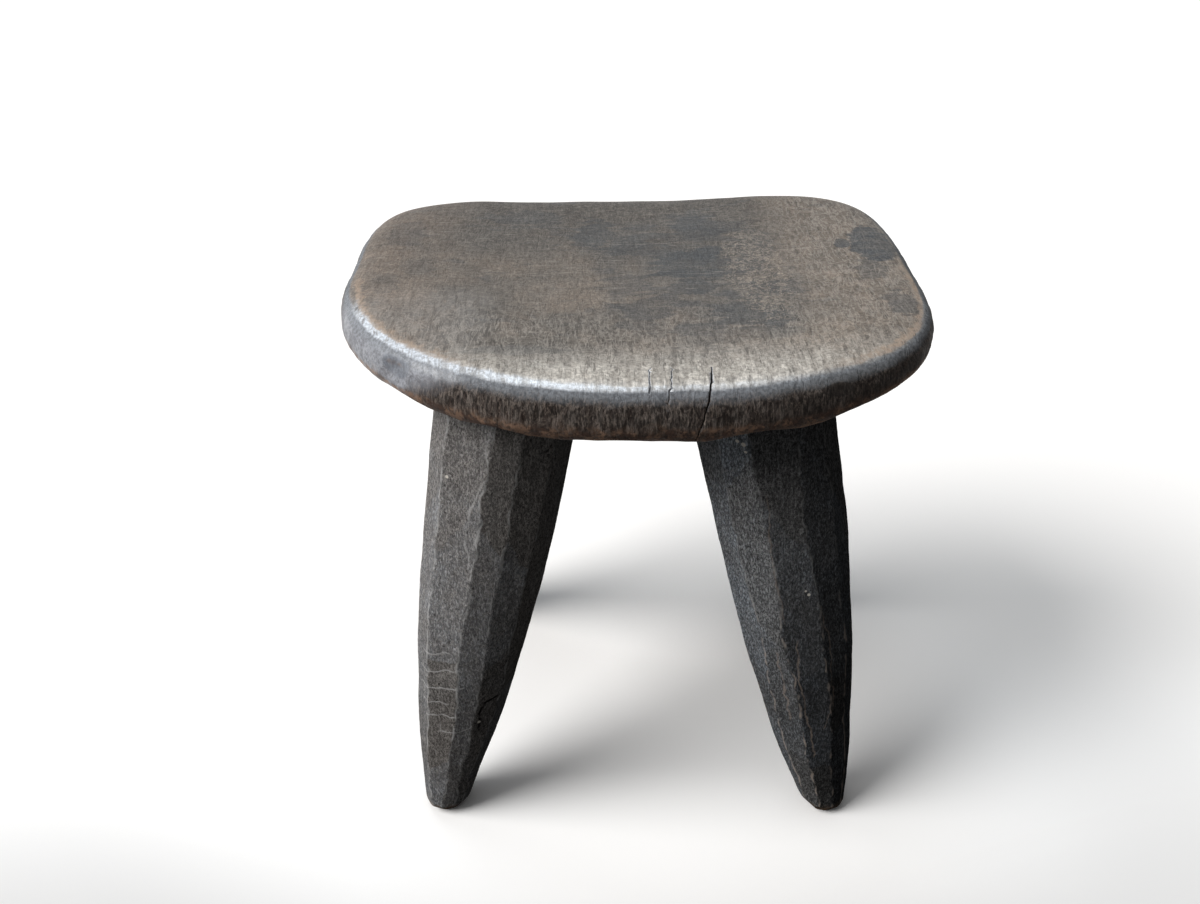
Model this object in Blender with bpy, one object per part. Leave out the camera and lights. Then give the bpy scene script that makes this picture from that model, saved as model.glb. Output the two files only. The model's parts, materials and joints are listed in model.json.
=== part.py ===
"""Carved stool: a dished seat slab on four splayed, adze-faceted tusk legs.

Metres, +Z up. The front is at -Y, and the left end, seen from the front, is at -X.
The origin lies on the floor under the middle of the seat.
"""

import math
import random

import bmesh
import bpy
from mathutils import Vector

# Seat slab
SEAT_LENGTH = 0.380           # end to end, along X
SEAT_DEPTH = 0.350            # front to back, along Y
SEAT_HEIGHT = 0.360           # floor to the lowest line of the dished top
SEAT_THICKNESS = 0.039        # top to underside, at the middle
LEFT_TOP_RISE = 0.005         # left end of the top above its lowest line
RIGHT_TOP_RISE = 0.012        # right end of the top above its lowest line
LEFT_UNDER_RISE = 0.012       # left end of the underside above its lowest line
RIGHT_UNDER_RISE = 0.029      # right end of the underside above its lowest line

# Plan outline: each corner's fullness, where 2 is a quarter of an ellipse and more is squarer
FRONT_LEFT_FULLNESS = 2.1
FRONT_RIGHT_FULLNESS = 3.6
REAR_LEFT_FULLNESS = 5.0
REAR_RIGHT_FULLNESS = 4.2

# Rim: a broad worn slope above that breaks at a soft arris, and a round roll below
TOP_ROLL_WIDTH = 0.035
TOP_ROLL_SHARE = 0.66         # of the thickness there
TOP_ROLL_FULLNESS = 3.0       # as for the corners: 2 is a quarter of an ellipse, more has a crisper arris
UNDER_ROLL_WIDTH = 0.017
UNDER_ROLL_SHARE = 0.30
UNDER_ROLL_FULLNESS = 2.0

# Legs
FOOT_INSET_X = 0.0535         # seat's end to a foot's centre
FOOT_INSET_Y = 0.0555         # seat's front or back to a foot's centre
TOP_INSET_X = 0.112           # seat's end to a leg's axis at the underside
TOP_INSET_Y = 0.090           # seat's front or back to a leg's axis at the underside
STANCE_SHIFT = 0.0047         # the legs stand this far to the right of the seat's middle
STANCE_TURN = -1.95           # and this far round from square with the seat, in degrees
LEG_TOP_RADIUS = 0.0453
FOOT_RADIUS = 0.0145
LEG_BELLY = 2.4               # how early the taper swells above the foot
SEAM = 0.0003                 # clearance between a leg's top and the underside

# Adze work on the legs
ADZE_ROWS = 5                 # strokes from foot to seat, one above another in a file
ADZE_FILES = 12               # files of strokes round a leg
FILE_SPREAD = 0.28            # unevenness of the files, as a share of a file's width
CUT_WANDER = 0.10             # sideways wander of a stroke in its file, as a share of the file's width
CUT_SLIP = 0.25               # wander of a stroke up or down the leg, as a share of a row
CUT_DEPTH = 0.0013            # deepest bite of a stroke
FOOT_WEAR_WIDTH = 0.0050      # worn bevel round the foot, in plan
FOOT_WEAR_RISE = 0.0065       # worn bevel round the foot, in height
FOOT_WEAR_CUTS = 10

# Facets of the drawn curves
RIM_STEPS = 96                # points round the seat
ROLL_STEPS = 6                # rings in each roll of the rim
FLAT_RINGS = 5                # rings across the top and across the underside
BLANK_STEPS = 20              # points round an uncut leg
BLANK_RINGS = 12              # rings up an uncut leg
BLANK_SPARE = 1.25            # uncut leg's radius, as a multiple of the finished one

# Finish
SEAT_COLOUR = (0.165, 0.148, 0.130)
LEG_COLOUR = (0.060, 0.056, 0.054)

LEGS = {
    "leg_front_left": (-1, -1, 48),
    "leg_front_right": (1, -1, 49),
    "leg_rear_left": (-1, 1, 37),
    "leg_rear_right": (1, 1, 51),
}


def hollow(x, left_rise, right_rise):
    """Height at x of a face that is hollow along the seat, above its lowest line."""
    rise = left_rise if x < 0 else right_rise
    return rise * (x / (SEAT_LENGTH / 2)) ** 2


def top_of_seat(x):
    return SEAT_HEIGHT + hollow(x, LEFT_TOP_RISE, RIGHT_TOP_RISE)


def underside(x):
    return SEAT_HEIGHT - SEAT_THICKNESS + hollow(x, LEFT_UNDER_RISE, RIGHT_UNDER_RISE)


def rim_radius(angle):
    """Distance from the seat's middle to its rim: a superellipse with four unlike corners."""
    cosine = math.cos(angle)
    sine = math.sin(angle)
    if sine < 0:
        fullness = FRONT_LEFT_FULLNESS if cosine < 0 else FRONT_RIGHT_FULLNESS
    else:
        fullness = REAR_LEFT_FULLNESS if cosine < 0 else REAR_RIGHT_FULLNESS
    across = abs(cosine) / (SEAT_LENGTH / 2)
    along = abs(sine) / (SEAT_DEPTH / 2)
    return (across ** fullness + along ** fullness) ** (-1 / fullness)


def seat_ring(depth, inset, share=1.0):
    """Points round the seat: the rim drawn in by inset, then shrunk to a share.

    depth is how far down the slab they lie, from 0 on the top to 1 on the underside.
    """
    ring = []
    for step in range(RIM_STEPS):
        angle = 2 * math.pi * step / RIM_STEPS
        radius = (rim_radius(angle) - inset) * share
        x = radius * math.cos(angle)
        y = radius * math.sin(angle)
        ring.append((x, y, top_of_seat(x) * (1 - depth) + underside(x) * depth))
    return ring


def loft(bm, rings):
    """Bridges closed rings of points into one skin and closes both ends with a fan."""
    loops = []
    for ring in rings:
        verts = [bm.verts.new(point) for point in ring]
        loops.append([bm.edges.new(pair) for pair in zip(verts, verts[1:] + verts[:1])])
    for one, other in zip(loops, loops[1:]):
        bmesh.ops.bridge_loops(bm, edges=one + other)
    ends = bmesh.ops.contextual_create(bm, geom=loops[0])["faces"]
    ends += bmesh.ops.contextual_create(bm, geom=loops[-1])["faces"]
    bmesh.ops.poke(bm, faces=ends)
    bmesh.ops.recalc_face_normals(bm, faces=bm.faces)


def finished_mesh(bm, name):
    mesh = bpy.data.meshes.new(name)
    bm.to_mesh(mesh)
    bm.free()
    return mesh


def patina(name, colour, roughness):
    material = bpy.data.materials.new(name)
    material.use_nodes = True
    surface = material.node_tree.nodes["Principled BSDF"]
    surface.inputs["Base Color"].default_value = (*colour, 1.0)
    surface.inputs["Roughness"].default_value = roughness
    surface.inputs["Metallic"].default_value = 0.0
    return material


def place(name, mesh, material, parent, location=(0, 0, 0)):
    piece = bpy.data.objects.new(name, mesh)
    piece.data.materials.append(material)
    piece.location = location
    piece.parent = parent
    bpy.context.collection.objects.link(piece)
    return piece


def roll(turn, fullness):
    """How far in from the rim and how far down a roll lies at a turn, as shares of its width and depth."""
    inward = 1 - math.sin(turn) ** (2 / fullness)
    downward = 1 - math.cos(turn) ** (2 / fullness)
    return inward, downward


def make_seat(stool):
    """Slab with a hollow top and a hollow underside, its rim rolled over above and below."""
    shares = [(ring + 1) / FLAT_RINGS for ring in range(FLAT_RINGS)]
    turns = [math.pi / 2 * (step + 1) / ROLL_STEPS for step in range(ROLL_STEPS)]
    rings = [seat_ring(0, TOP_ROLL_WIDTH, share) for share in shares]
    for turn in turns:
        inward, downward = roll(turn, TOP_ROLL_FULLNESS)
        rings.append(seat_ring(TOP_ROLL_SHARE * downward, TOP_ROLL_WIDTH * inward))
    for turn in reversed(turns):
        inward, upward = roll(turn, UNDER_ROLL_FULLNESS)
        rings.append(seat_ring(1 - UNDER_ROLL_SHARE * upward, UNDER_ROLL_WIDTH * inward))
    rings += [seat_ring(1, UNDER_ROLL_WIDTH, share) for share in reversed(shares)]
    bm = bmesh.new()
    loft(bm, rings)
    mesh = finished_mesh(bm, "seat")
    mesh.shade_smooth()
    return place("seat", mesh, patina("seat_patina", SEAT_COLOUR, 0.45), stool)


def make_scribe(seat, stool):
    """The seat lowered by the seam: cutting a leg with it fits the leg's top to the underside."""
    scribe = bpy.data.objects.new("scribe", seat.data)
    scribe.location = (0, 0, -SEAM)
    scribe.parent = stool
    scribe.hide_render = True
    scribe.display_type = "WIRE"
    bpy.context.collection.objects.link(scribe)
    return scribe


def stance(x, y):
    """A place on the floor, given from the middle of the legs' slightly askew stance."""
    turn = math.radians(STANCE_TURN)
    across = STANCE_SHIFT + x * math.cos(turn) - y * math.sin(turn)
    along = x * math.sin(turn) + y * math.cos(turn)
    return Vector((across, along, 0))


def tusk_radius(share):
    """Radius of a leg at a share of its height: it swells quickly above the foot, then evens out."""
    swell = 1 - max(1 - share, 0.0) ** LEG_BELLY
    return FOOT_RADIUS + (LEG_TOP_RADIUS - FOOT_RADIUS) * swell


def tusk_slope(share):
    """Change of a leg's radius over its whole height, at a share of that height."""
    return (LEG_TOP_RADIUS - FOOT_RADIUS) * LEG_BELLY * max(1 - share, 0.0) ** (LEG_BELLY - 1)


def cut_flat(bm, point, outward):
    """Slices off what lies outside a plane and closes the cut with one flat face."""
    everything = bm.verts[:] + bm.edges[:] + bm.faces[:]
    cut = bmesh.ops.bisect_plane(bm, geom=everything, plane_co=point, plane_no=outward, clear_outer=True)
    rim = [part for part in cut["geom_cut"] if isinstance(part, bmesh.types.BMEdge)]
    if rim:
        bmesh.ops.contextual_create(bm, geom=rim)


def adze_cuts(axis, rng):
    """Planes of the adze strokes: tangent to the tusk, in uneven files up the leg, each biting a little."""
    files = [file + rng.uniform(-FILE_SPREAD, FILE_SPREAD) for file in range(ADZE_FILES)]
    for row in range(ADZE_ROWS):
        for file in files:
            angle = 2 * math.pi * (file + rng.uniform(-CUT_WANDER, CUT_WANDER)) / ADZE_FILES
            height = (row + 0.5 + rng.uniform(-CUT_SLIP, CUT_SLIP)) / ADZE_ROWS
            outward = Vector((math.cos(angle), math.sin(angle), 0))
            sideways = Vector((-math.sin(angle), math.cos(angle), 0))
            bite = rng.uniform(0, CUT_DEPTH)
            upward = axis + outward * tusk_slope(height)
            yield axis * height + outward * (tusk_radius(height) - bite), sideways.cross(upward)


def foot_cuts():
    """Planes of the worn bevel round the foot."""
    for cut in range(FOOT_WEAR_CUTS):
        angle = 2 * math.pi * cut / FOOT_WEAR_CUTS
        outward = Vector((math.cos(angle), math.sin(angle), 0))
        normal = outward * FOOT_WEAR_RISE - Vector((0, 0, FOOT_WEAR_WIDTH))
        yield outward * (FOOT_RADIUS - FOOT_WEAR_WIDTH), normal


def make_leg(name, side, end, seed, scribe, stool):
    """One tusk: a round tapered blank, dressed with flat adze strokes and scribed to the seat."""
    foot = stance(side * (SEAT_LENGTH / 2 - FOOT_INSET_X), end * (SEAT_DEPTH / 2 - FOOT_INSET_Y))
    top = stance(side * (SEAT_LENGTH / 2 - TOP_INSET_X), end * (SEAT_DEPTH / 2 - TOP_INSET_Y))
    top.z = underside(top.x)
    axis = top - foot
    blank_top = 1 + SEAT_THICKNESS / 2 / axis.z
    rings = []
    for level in range(BLANK_RINGS + 1):
        share = blank_top * level / BLANK_RINGS
        radius = tusk_radius(share) * BLANK_SPARE
        ring = []
        for step in range(BLANK_STEPS):
            angle = 2 * math.pi * step / BLANK_STEPS
            ring.append(axis * share + Vector((radius * math.cos(angle), radius * math.sin(angle), 0)))
        rings.append(ring)
    bm = bmesh.new()
    loft(bm, rings)
    for point, outward in adze_cuts(axis, random.Random(seed)):
        cut_flat(bm, point, outward)
    for point, outward in foot_cuts():
        cut_flat(bm, point, outward)
    bmesh.ops.dissolve_limit(
        bm, angle_limit=math.radians(0.2), use_dissolve_boundaries=False, verts=bm.verts, edges=bm.edges
    )
    bmesh.ops.recalc_face_normals(bm, faces=bm.faces)
    leg = place(name, finished_mesh(bm, name), patina(name + "_patina", LEG_COLOUR, 0.6), stool, foot)
    fit = leg.modifiers.new("scribed top", "BOOLEAN")
    fit.operation = "DIFFERENCE"
    fit.object = scribe
    return leg


def main():
    for leftover in list(bpy.data.objects):
        bpy.data.objects.remove(leftover, do_unlink=True)
    stool = bpy.data.objects.new("stool", None)
    bpy.context.collection.objects.link(stool)
    seat = make_seat(stool)
    scribe = make_scribe(seat, stool)
    for name, (side, end, seed) in LEGS.items():
        make_leg(name, side, end, seed, scribe, stool)


main()
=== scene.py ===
# %% [markdown]
# # A stool carved from one block
# The stool has a dished seat with soft rolled edges and four tusk-shaped legs, all hewn from one piece of
# hardwood with an adze, then blackened and polished by years of use. The measured solids give its size and
# place. This lesson carves their surfaces further and gives them the old wood's patina.

# %% Load the measured solids
import json
import math
import random
from types import SimpleNamespace

import bmesh
import bpy
import numpy as np
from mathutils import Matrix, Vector, kdtree, noise as field
from mathutils.bvhtree import BVHTree

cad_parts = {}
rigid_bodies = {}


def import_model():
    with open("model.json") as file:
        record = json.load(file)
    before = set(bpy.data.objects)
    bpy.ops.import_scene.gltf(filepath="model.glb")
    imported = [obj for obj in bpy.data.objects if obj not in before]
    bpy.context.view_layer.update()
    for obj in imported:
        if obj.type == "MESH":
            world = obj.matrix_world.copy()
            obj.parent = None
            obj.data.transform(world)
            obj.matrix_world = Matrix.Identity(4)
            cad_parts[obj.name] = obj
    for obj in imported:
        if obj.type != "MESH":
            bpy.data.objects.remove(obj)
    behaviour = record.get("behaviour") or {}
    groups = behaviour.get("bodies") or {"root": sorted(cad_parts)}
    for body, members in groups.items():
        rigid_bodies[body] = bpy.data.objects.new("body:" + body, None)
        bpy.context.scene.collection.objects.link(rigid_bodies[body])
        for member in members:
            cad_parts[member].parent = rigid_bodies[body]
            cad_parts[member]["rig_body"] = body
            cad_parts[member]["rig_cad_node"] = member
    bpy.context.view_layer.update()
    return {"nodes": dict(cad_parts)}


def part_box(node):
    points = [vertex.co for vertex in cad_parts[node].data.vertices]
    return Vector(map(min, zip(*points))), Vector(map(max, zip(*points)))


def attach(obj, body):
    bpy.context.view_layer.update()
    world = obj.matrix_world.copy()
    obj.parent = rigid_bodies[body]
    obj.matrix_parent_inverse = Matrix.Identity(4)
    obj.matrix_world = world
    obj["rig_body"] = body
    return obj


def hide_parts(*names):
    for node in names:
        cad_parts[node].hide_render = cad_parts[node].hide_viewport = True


for leftover in list(bpy.data.objects):
    bpy.data.objects.remove(leftover)
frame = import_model()

# %% [markdown]
# Modelling by hand is a chain of small steps: select one thing, work on it, apply it. These helpers are those
# steps. A copy of a solid loses its tie to the frame and has its doubled points merged, so it can be reshaped
# while the solid itself stays as it was.

# %% Helpers for selecting, copying and applying
MERGE_REACH = 1e-6


def only(piece):
    """Select one piece alone and make it the active one."""
    bpy.ops.object.select_all(action="DESELECT")
    piece.select_set(True)
    bpy.context.view_layer.objects.active = piece


def copy_of(node_name, name):
    """A free copy of a solid with its triangles joined into one closed skin."""
    only(frame["nodes"][node_name])
    bpy.ops.object.duplicate()
    piece = bpy.context.active_object
    bpy.ops.object.parent_clear(type="CLEAR_KEEP_TRANSFORM")
    piece.name = name
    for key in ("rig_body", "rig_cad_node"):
        del piece[key]
    piece.data.materials.clear()
    bpy.ops.object.mode_set(mode="EDIT")
    bpy.ops.mesh.select_all(action="SELECT")
    bpy.ops.mesh.remove_doubles(threshold=MERGE_REACH)
    bpy.ops.object.mode_set(mode="OBJECT")
    return piece


def finish_with(piece, kind, **settings):
    """Add a modifier, set it and apply it."""
    only(piece)
    modifier = piece.modifiers.new(kind.lower(), kind)
    for key, value in settings.items():
        setattr(modifier, key, value)
    bpy.ops.object.modifier_apply(modifier=modifier.name)


def displace(piece, texture, strength, **settings):
    """Push the points of a piece in and out by a texture."""
    finish_with(piece, "DISPLACE", texture=texture, texture_coords="LOCAL", strength=strength, **settings)


def clouds(name, size, depth=2, colour=False):
    """A cloudy texture to push points by, with lumps of about the given size."""
    texture = bpy.data.textures.new(name, "CLOUDS")
    texture.noise_scale = size
    texture.noise_depth = depth
    texture.cloud_type = "COLOR" if colour else "GRAYSCALE"
    return texture


def rows_of(piece, value):
    """Rows of x, y and z, one for each point: its place ("co") or the way the skin faces ("normal")."""
    flat = np.zeros(len(piece.data.vertices) * 3)
    piece.data.vertices.foreach_get(value, flat)
    return flat.reshape(-1, 3)


# %% [markdown]
# The view is a product picture taken by hand: a little above the seat, looking down about thirty degrees,
# from a step away. The lens is set by its focal length in the picture's own pixels, and the shift puts the
# lens axis a little right of the middle, where the picture has it.

# %% Camera
PICTURE_WIDTH = 1200
FOCAL_PIXELS = 1250
AXIS_OFFSET_PIXELS = 35
SENSOR_WIDTH = 36.0
EYE = (-0.0222, -0.7892, 0.6642)
LOOK_DOWN = math.radians(29.2)
LOOK_ASIDE = math.radians(-1.95)

bpy.ops.object.camera_add(location=EYE, rotation=(math.pi / 2 - LOOK_DOWN, 0, LOOK_ASIDE))
camera = bpy.context.active_object
camera.name = "camera"
camera.data.sensor_width = SENSOR_WIDTH
camera.data.lens = SENSOR_WIDTH * FOCAL_PIXELS / PICTURE_WIDTH
camera.data.shift_x = -AXIS_OFFSET_PIXELS / PICTURE_WIDTH
bpy.context.scene.camera = camera
bpy.context.scene.view_settings.view_transform = "Standard"
print("lens:", camera.data.lens, "mm")

# %% [markdown]
# The light is one large soft source high on the left. A low, very wide one on the same side fills in the
# flanks of the legs, a weak cool one overhead lifts the seat's top, and the surround is dim. Suns light the
# floor evenly, so a white floor stays white all over and only the stool's own shadow shows on it.

# %% Lights
SUNS = (
    # name, where it shines from, strength, how wide it is in degrees, colour
    ("key_left", (-0.70, -0.22, 0.66), 3.45, 40, (1.0, 0.988, 0.972)),
    ("overhead", (-0.12, 0.26, 0.95), 0.45, 20, (0.85, 0.93, 1.0)),
    ("side_left", (-0.93, -0.25, 0.27), 0.85, 60, (0.96, 0.98, 1.0)),
)

for name, toward, strength, angle, colour in SUNS:
    bpy.ops.object.light_add(type="SUN")
    lamp = bpy.context.active_object
    lamp.name = name
    lamp.rotation_euler = (-Vector(toward)).to_track_quat("-Z", "Y").to_euler()
    lamp.data.energy = strength
    lamp.data.angle = math.radians(angle)
    lamp.data.color = colour

# %% [markdown]
# A material is a tree of nodes. These short helpers place a node, set its sockets and join it to the ones
# before it, so that each finish below reads like a recipe. Most of them make masks: values from 0 to 1 that
# say where a colour goes. In a soft step, the first two numbers are where the change starts and ends, and
# the last two are what the value goes from and to.

# %% Helpers for node trees
def node(tree, kind, inputs=None, **settings):
    """Place a node; an input is either a plain value or another node's output."""
    made = tree.nodes.new(kind)
    for key, value in settings.items():
        setattr(made, key, value)
    for key, value in (inputs or {}).items():
        if isinstance(value, bpy.types.NodeSocket):
            tree.links.new(value, made.inputs[key])
        else:
            made.inputs[key].default_value = value
    return made


def maths(tree, operation, first, second=0.0):
    """One sum, difference or other step on two values."""
    return node(tree, "ShaderNodeMath", {0: first, 1: second}, operation=operation).outputs[0]


def times(tree, first, *others):
    """The product of all the values, from left to right."""
    for other in others:
        first = maths(tree, "MULTIPLY", first, other)
    return first


def step(tree, value, low, high, to_low=0.0, to_high=1.0):
    """A soft step of a value, from to_low at low to to_high at high."""
    sockets = {"Value": value, "From Min": low, "From Max": high, "To Min": to_low, "To Max": to_high}
    return node(tree, "ShaderNodeMapRange", sockets, interpolation_type="SMOOTHSTEP").outputs[0]


def between(tree, mask, at_black, at_white):
    """A value that goes softly from one to the other as the mask goes from 0 to 1."""
    return step(tree, mask, 0.0, 1.0, at_black, at_white)


def tint(tree, mask, below, above, blend="MIX"):
    """Mix one colour over another where the mask is white."""
    sockets = {0: mask, 6: below, 7: above}
    return node(tree, "ShaderNodeMix", sockets, data_type="RGBA", blend_type=blend).outputs[2]


def scaled(tree, colour, value):
    """A colour or vector times a factor."""
    return node(tree, "ShaderNodeVectorMath", {0: colour, "Scale": value}, operation="SCALE").outputs[0]


def vectors(tree, operation, first, second=(0, 0, 0)):
    """One step on two vectors: a length or dot product gives a value, the others a vector."""
    made = node(tree, "ShaderNodeVectorMath", {0: first, 1: second}, operation=operation)
    return made.outputs["Value" if operation in ("LENGTH", "DOT_PRODUCT") else "Vector"]


def axes_of(tree, vector):
    """The x, y and z of a place or direction."""
    return node(tree, "ShaderNodeSeparateXYZ", {0: vector}).outputs


def noise(tree, place, scale, detail=4.0, roughness=0.6, distortion=0.0):
    """Cloudy noise, with scale in lumps per metre."""
    sockets = {
        "Vector": place, "Scale": scale, "Detail": detail, "Roughness": roughness, "Distortion": distortion}
    return node(tree, "ShaderNodeTexNoise", sockets).outputs[0]


def drawn_out(tree, place, stretch, *character):
    """Noise with its own lumps per metre along x, y and z, so that it runs in streaks."""
    return noise(tree, vectors(tree, "MULTIPLY", place, stretch), 1.0, *character)


def new_material(name):
    """An empty material with its output node."""
    material = bpy.data.materials.new(name)
    material.use_nodes = True
    material.node_tree.nodes.clear()
    output = node(material.node_tree, "ShaderNodeOutputMaterial")
    return material, material.node_tree, output


# %% [markdown]
# The floor is a plain pale sheet. Seen by the camera, or in a reflection, it is white with a soft shadow. It
# glows a little, and the glow is dimmed where the stool covers it from the sky, as a painted contact shadow.
# It is painted whitest in front of the stool, greyer behind it, and dimmer towards the near corners, as
# painted shade. For the light that bounces it is a dull grey, as a studio's dark side would be, so the shaded
# sides of the legs stay deep. The world around it works the same way.

# %% Floor and surround
FLOOR_SIZE = 16.0
FLOOR_FAR = (0.86, 0.846, 0.832, 1)
FLOOR_NEAR = (0.985, 0.981, 0.976, 1)
FLOOR_BOUNCE = (0.08, 0.08, 0.08, 1)
FULL_WHITE = (1, 1, 1, 1)
FLOOR_GLOW = 0.29
COVER_REACH = 0.30
COVER_CONTRAST = 2.6
NEAR_FROM_Y, NEAR_TO_Y = 0.10, -0.12
BRIGHT_CENTRE = (0, 0.15, 0)
BRIGHT_RADIUS, DIM_RADIUS = 0.26, 0.50
DIM_LAST_RADIUS, DIM_END_RADIUS = 0.8, 1.6
DIM_FROM_Y, DIM_TO_Y = 0.02, -0.26
CORNER_PAINTED_SHADE = 0.38
SURROUND = 0.06


def sight_rays(tree):
    """1 for rays that look at a surface: from the camera, in a reflection or through glass."""
    path = node(tree, "ShaderNodeLightPath")
    glossy = maths(tree, "MAXIMUM", path.outputs["Is Camera Ray"], path.outputs["Is Glossy Ray"])
    return maths(tree, "MAXIMUM", glossy, path.outputs["Is Transmission Ray"])


bpy.ops.mesh.primitive_plane_add(size=FLOOR_SIZE)
floor = bpy.context.active_object
floor.name = "floor"
floor_paint, tree, output = new_material("floor_paint")
place = node(tree, "ShaderNodeTexCoord").outputs["Object"]
depth = axes_of(tree, place)["Y"]
away = vectors(tree, "LENGTH", vectors(tree, "SUBTRACT", place, BRIGHT_CENTRE))
# Painted shade: the floor is dimmer towards the near corners.
corners = times(tree, step(tree, away, BRIGHT_RADIUS, DIM_RADIUS),
                step(tree, away, DIM_END_RADIUS, DIM_LAST_RADIUS), step(tree, depth, DIM_FROM_Y, DIM_TO_Y))
lit = maths(tree, "SUBTRACT", 1.0, times(tree, corners, CORNER_PAINTED_SHADE))
sheet = tint(tree, step(tree, depth, NEAR_FROM_Y, NEAR_TO_Y), FLOOR_FAR, FLOOR_NEAR)
seen = node(tree, "ShaderNodeBsdfDiffuse", {"Color": scaled(tree, sheet, lit)})
# Painted contact shadow: the glow is dimmed where the stool covers the floor from the sky.
open_sky = node(tree, "ShaderNodeAmbientOcclusion", {"Distance": COVER_REACH}).outputs["AO"]
strength = times(tree, maths(tree, "POWER", open_sky, COVER_CONTRAST), FLOOR_GLOW, lit)
glow_with_painted_shadow = node(tree, "ShaderNodeEmission", {"Color": FULL_WHITE, "Strength": strength})
white = node(tree, "ShaderNodeAddShader", {0: seen.outputs[0], 1: glow_with_painted_shadow.outputs[0]})
dull = node(tree, "ShaderNodeBsdfDiffuse", {"Color": FLOOR_BOUNCE})
mixed = node(tree, "ShaderNodeMixShader", {0: sight_rays(tree), 1: dull.outputs[0], 2: white.outputs[0]})
tree.links.new(mixed.outputs[0], output.inputs["Surface"])
floor.data.materials.append(floor_paint)

world = bpy.data.worlds.new("surround")
bpy.context.scene.world = world
world.use_nodes = True
tree = world.node_tree
tree.nodes.clear()
level = between(tree, sight_rays(tree), SURROUND, 1.0)
back = node(tree, "ShaderNodeBackground", {"Color": FULL_WHITE, "Strength": level})
node(tree, "ShaderNodeOutputWorld", {"Surface": back.outputs[0]})
print("floor:", FLOOR_SIZE, "m across,", len(floor_paint.node_tree.nodes), "nodes")

# %% [markdown]
# Each leg is a tusk worked with long adze strokes: flat facets that meet in ridges. The solid has the facets.
# Wear follows the ridges, and each cut took the black a little differently. So before the skin is reworked,
# the upright ridges are picked out by their angle, and each flat cut gets a tone of its own. Both are kept
# as values on the points, for the finish to read. The place that is looked up sways a little, because no
# stroke is straight. This noise takes its seed from the clock unless it is given one, so it gets one, and
# every run makes the same legs.

# %% Find the ridges and the cuts
RIDGE_ANGLE = math.radians(7)
RIDGE_LEAN = 0.80
RIDGE_SPACING = 0.001
RIDGE_REACH = 0.006
RIDGE_SWAY = 0.0022
SWAYS_PER_METRE = 110
SWAY_SEED = 3

field.seed_set(SWAY_SEED)


def ridge_points(piece):
    """Points along the upright ridges where adze cuts meet, ready to search by place."""
    only(piece)
    bpy.ops.object.mode_set(mode="EDIT")
    bpy.ops.mesh.select_mode(type="EDGE")
    bpy.ops.mesh.select_all(action="DESELECT")
    bpy.ops.mesh.edges_select_sharp(sharpness=RIDGE_ANGLE)
    bpy.ops.object.mode_set(mode="OBJECT")
    found = []
    for edge in piece.data.edges:
        start, end = (piece.data.vertices[i].co for i in edge.vertices)
        if edge.select and abs((end - start).normalized().z) > RIDGE_LEAN:
            steps = max(1, math.ceil((end - start).length / RIDGE_SPACING))
            found += [start.lerp(end, i / steps) for i in range(steps + 1)]
    ridges = kdtree.KDTree(len(found))
    for index, point in enumerate(found):
        ridges.insert(point, index)
    ridges.balance()
    return ridges


def facet_tones(piece):
    """The faces of the solid, to search by place, and a tone from 0 to 1 for each flat cut."""
    corners = [v.co for v in piece.data.vertices]
    skin = BVHTree.FromPolygons(corners, [p.vertices for p in piece.data.polygons])
    cuts = [tuple(round(x, 2) for x in p.normal) for p in piece.data.polygons]
    tones = {cut: random.Random(str(cut)).random() for cut in sorted(set(cuts))}
    return skin, [tones[cut] for cut in cuts]


def mark_cuts(piece, ridges, skin, tones):
    """Store on each point the tone of its cut, and how near a ridge it lies: 1 on it, 0 a little way off."""
    near = []
    tone = []
    for v in piece.data.vertices:
        swayed = v.co + field.noise_vector(v.co * SWAYS_PER_METRE) * RIDGE_SWAY
        near.append(max(0.0, 1 - ridges.find(swayed)[2] / RIDGE_REACH))
        tone.append(tones[skin.find_nearest(swayed)[2]])
    piece.data.attributes.new("ridge", "FLOAT", "POINT").data.foreach_set("value", near)
    piece.data.attributes.new("cut", "FLOAT", "POINT").data.foreach_set("value", tone)


print("ridges: sharper than", round(math.degrees(RIDGE_ANGLE)), "degrees, seed", SWAY_SEED)

# %% [markdown]
# The copy of a leg is turned into an even net of small faces, softened a little as handling has done, bent so
# that its ridges wander, and roughened like weathered grain. The top is lifted into the seat, where it
# doesn't show, so that leg and seat read as one block, and the foot is kept flat on the ground.

# %% Carve the legs
LEGS = ("leg_front_left", "leg_front_right", "leg_rear_left", "leg_rear_right")
LEG_NET = 0.0011
LEG_SOFTENING = 0.3
WANDER_REACH = 0.0028
HOLLOW_DEPTH = 0.0003
WEATHER_DEPTH = 0.0003
TOP_FACING = 0.6
TOP_ZONE = 0.03
SEAM_LIFT = 0.003

wander = clouds("ridge_wander", 0.060, depth=1, colour=True)
hollows = clouds("shallow_hollows", 0.016, depth=2)
weathering = clouds("weathered_grain", 0.0035, depth=3)


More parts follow.
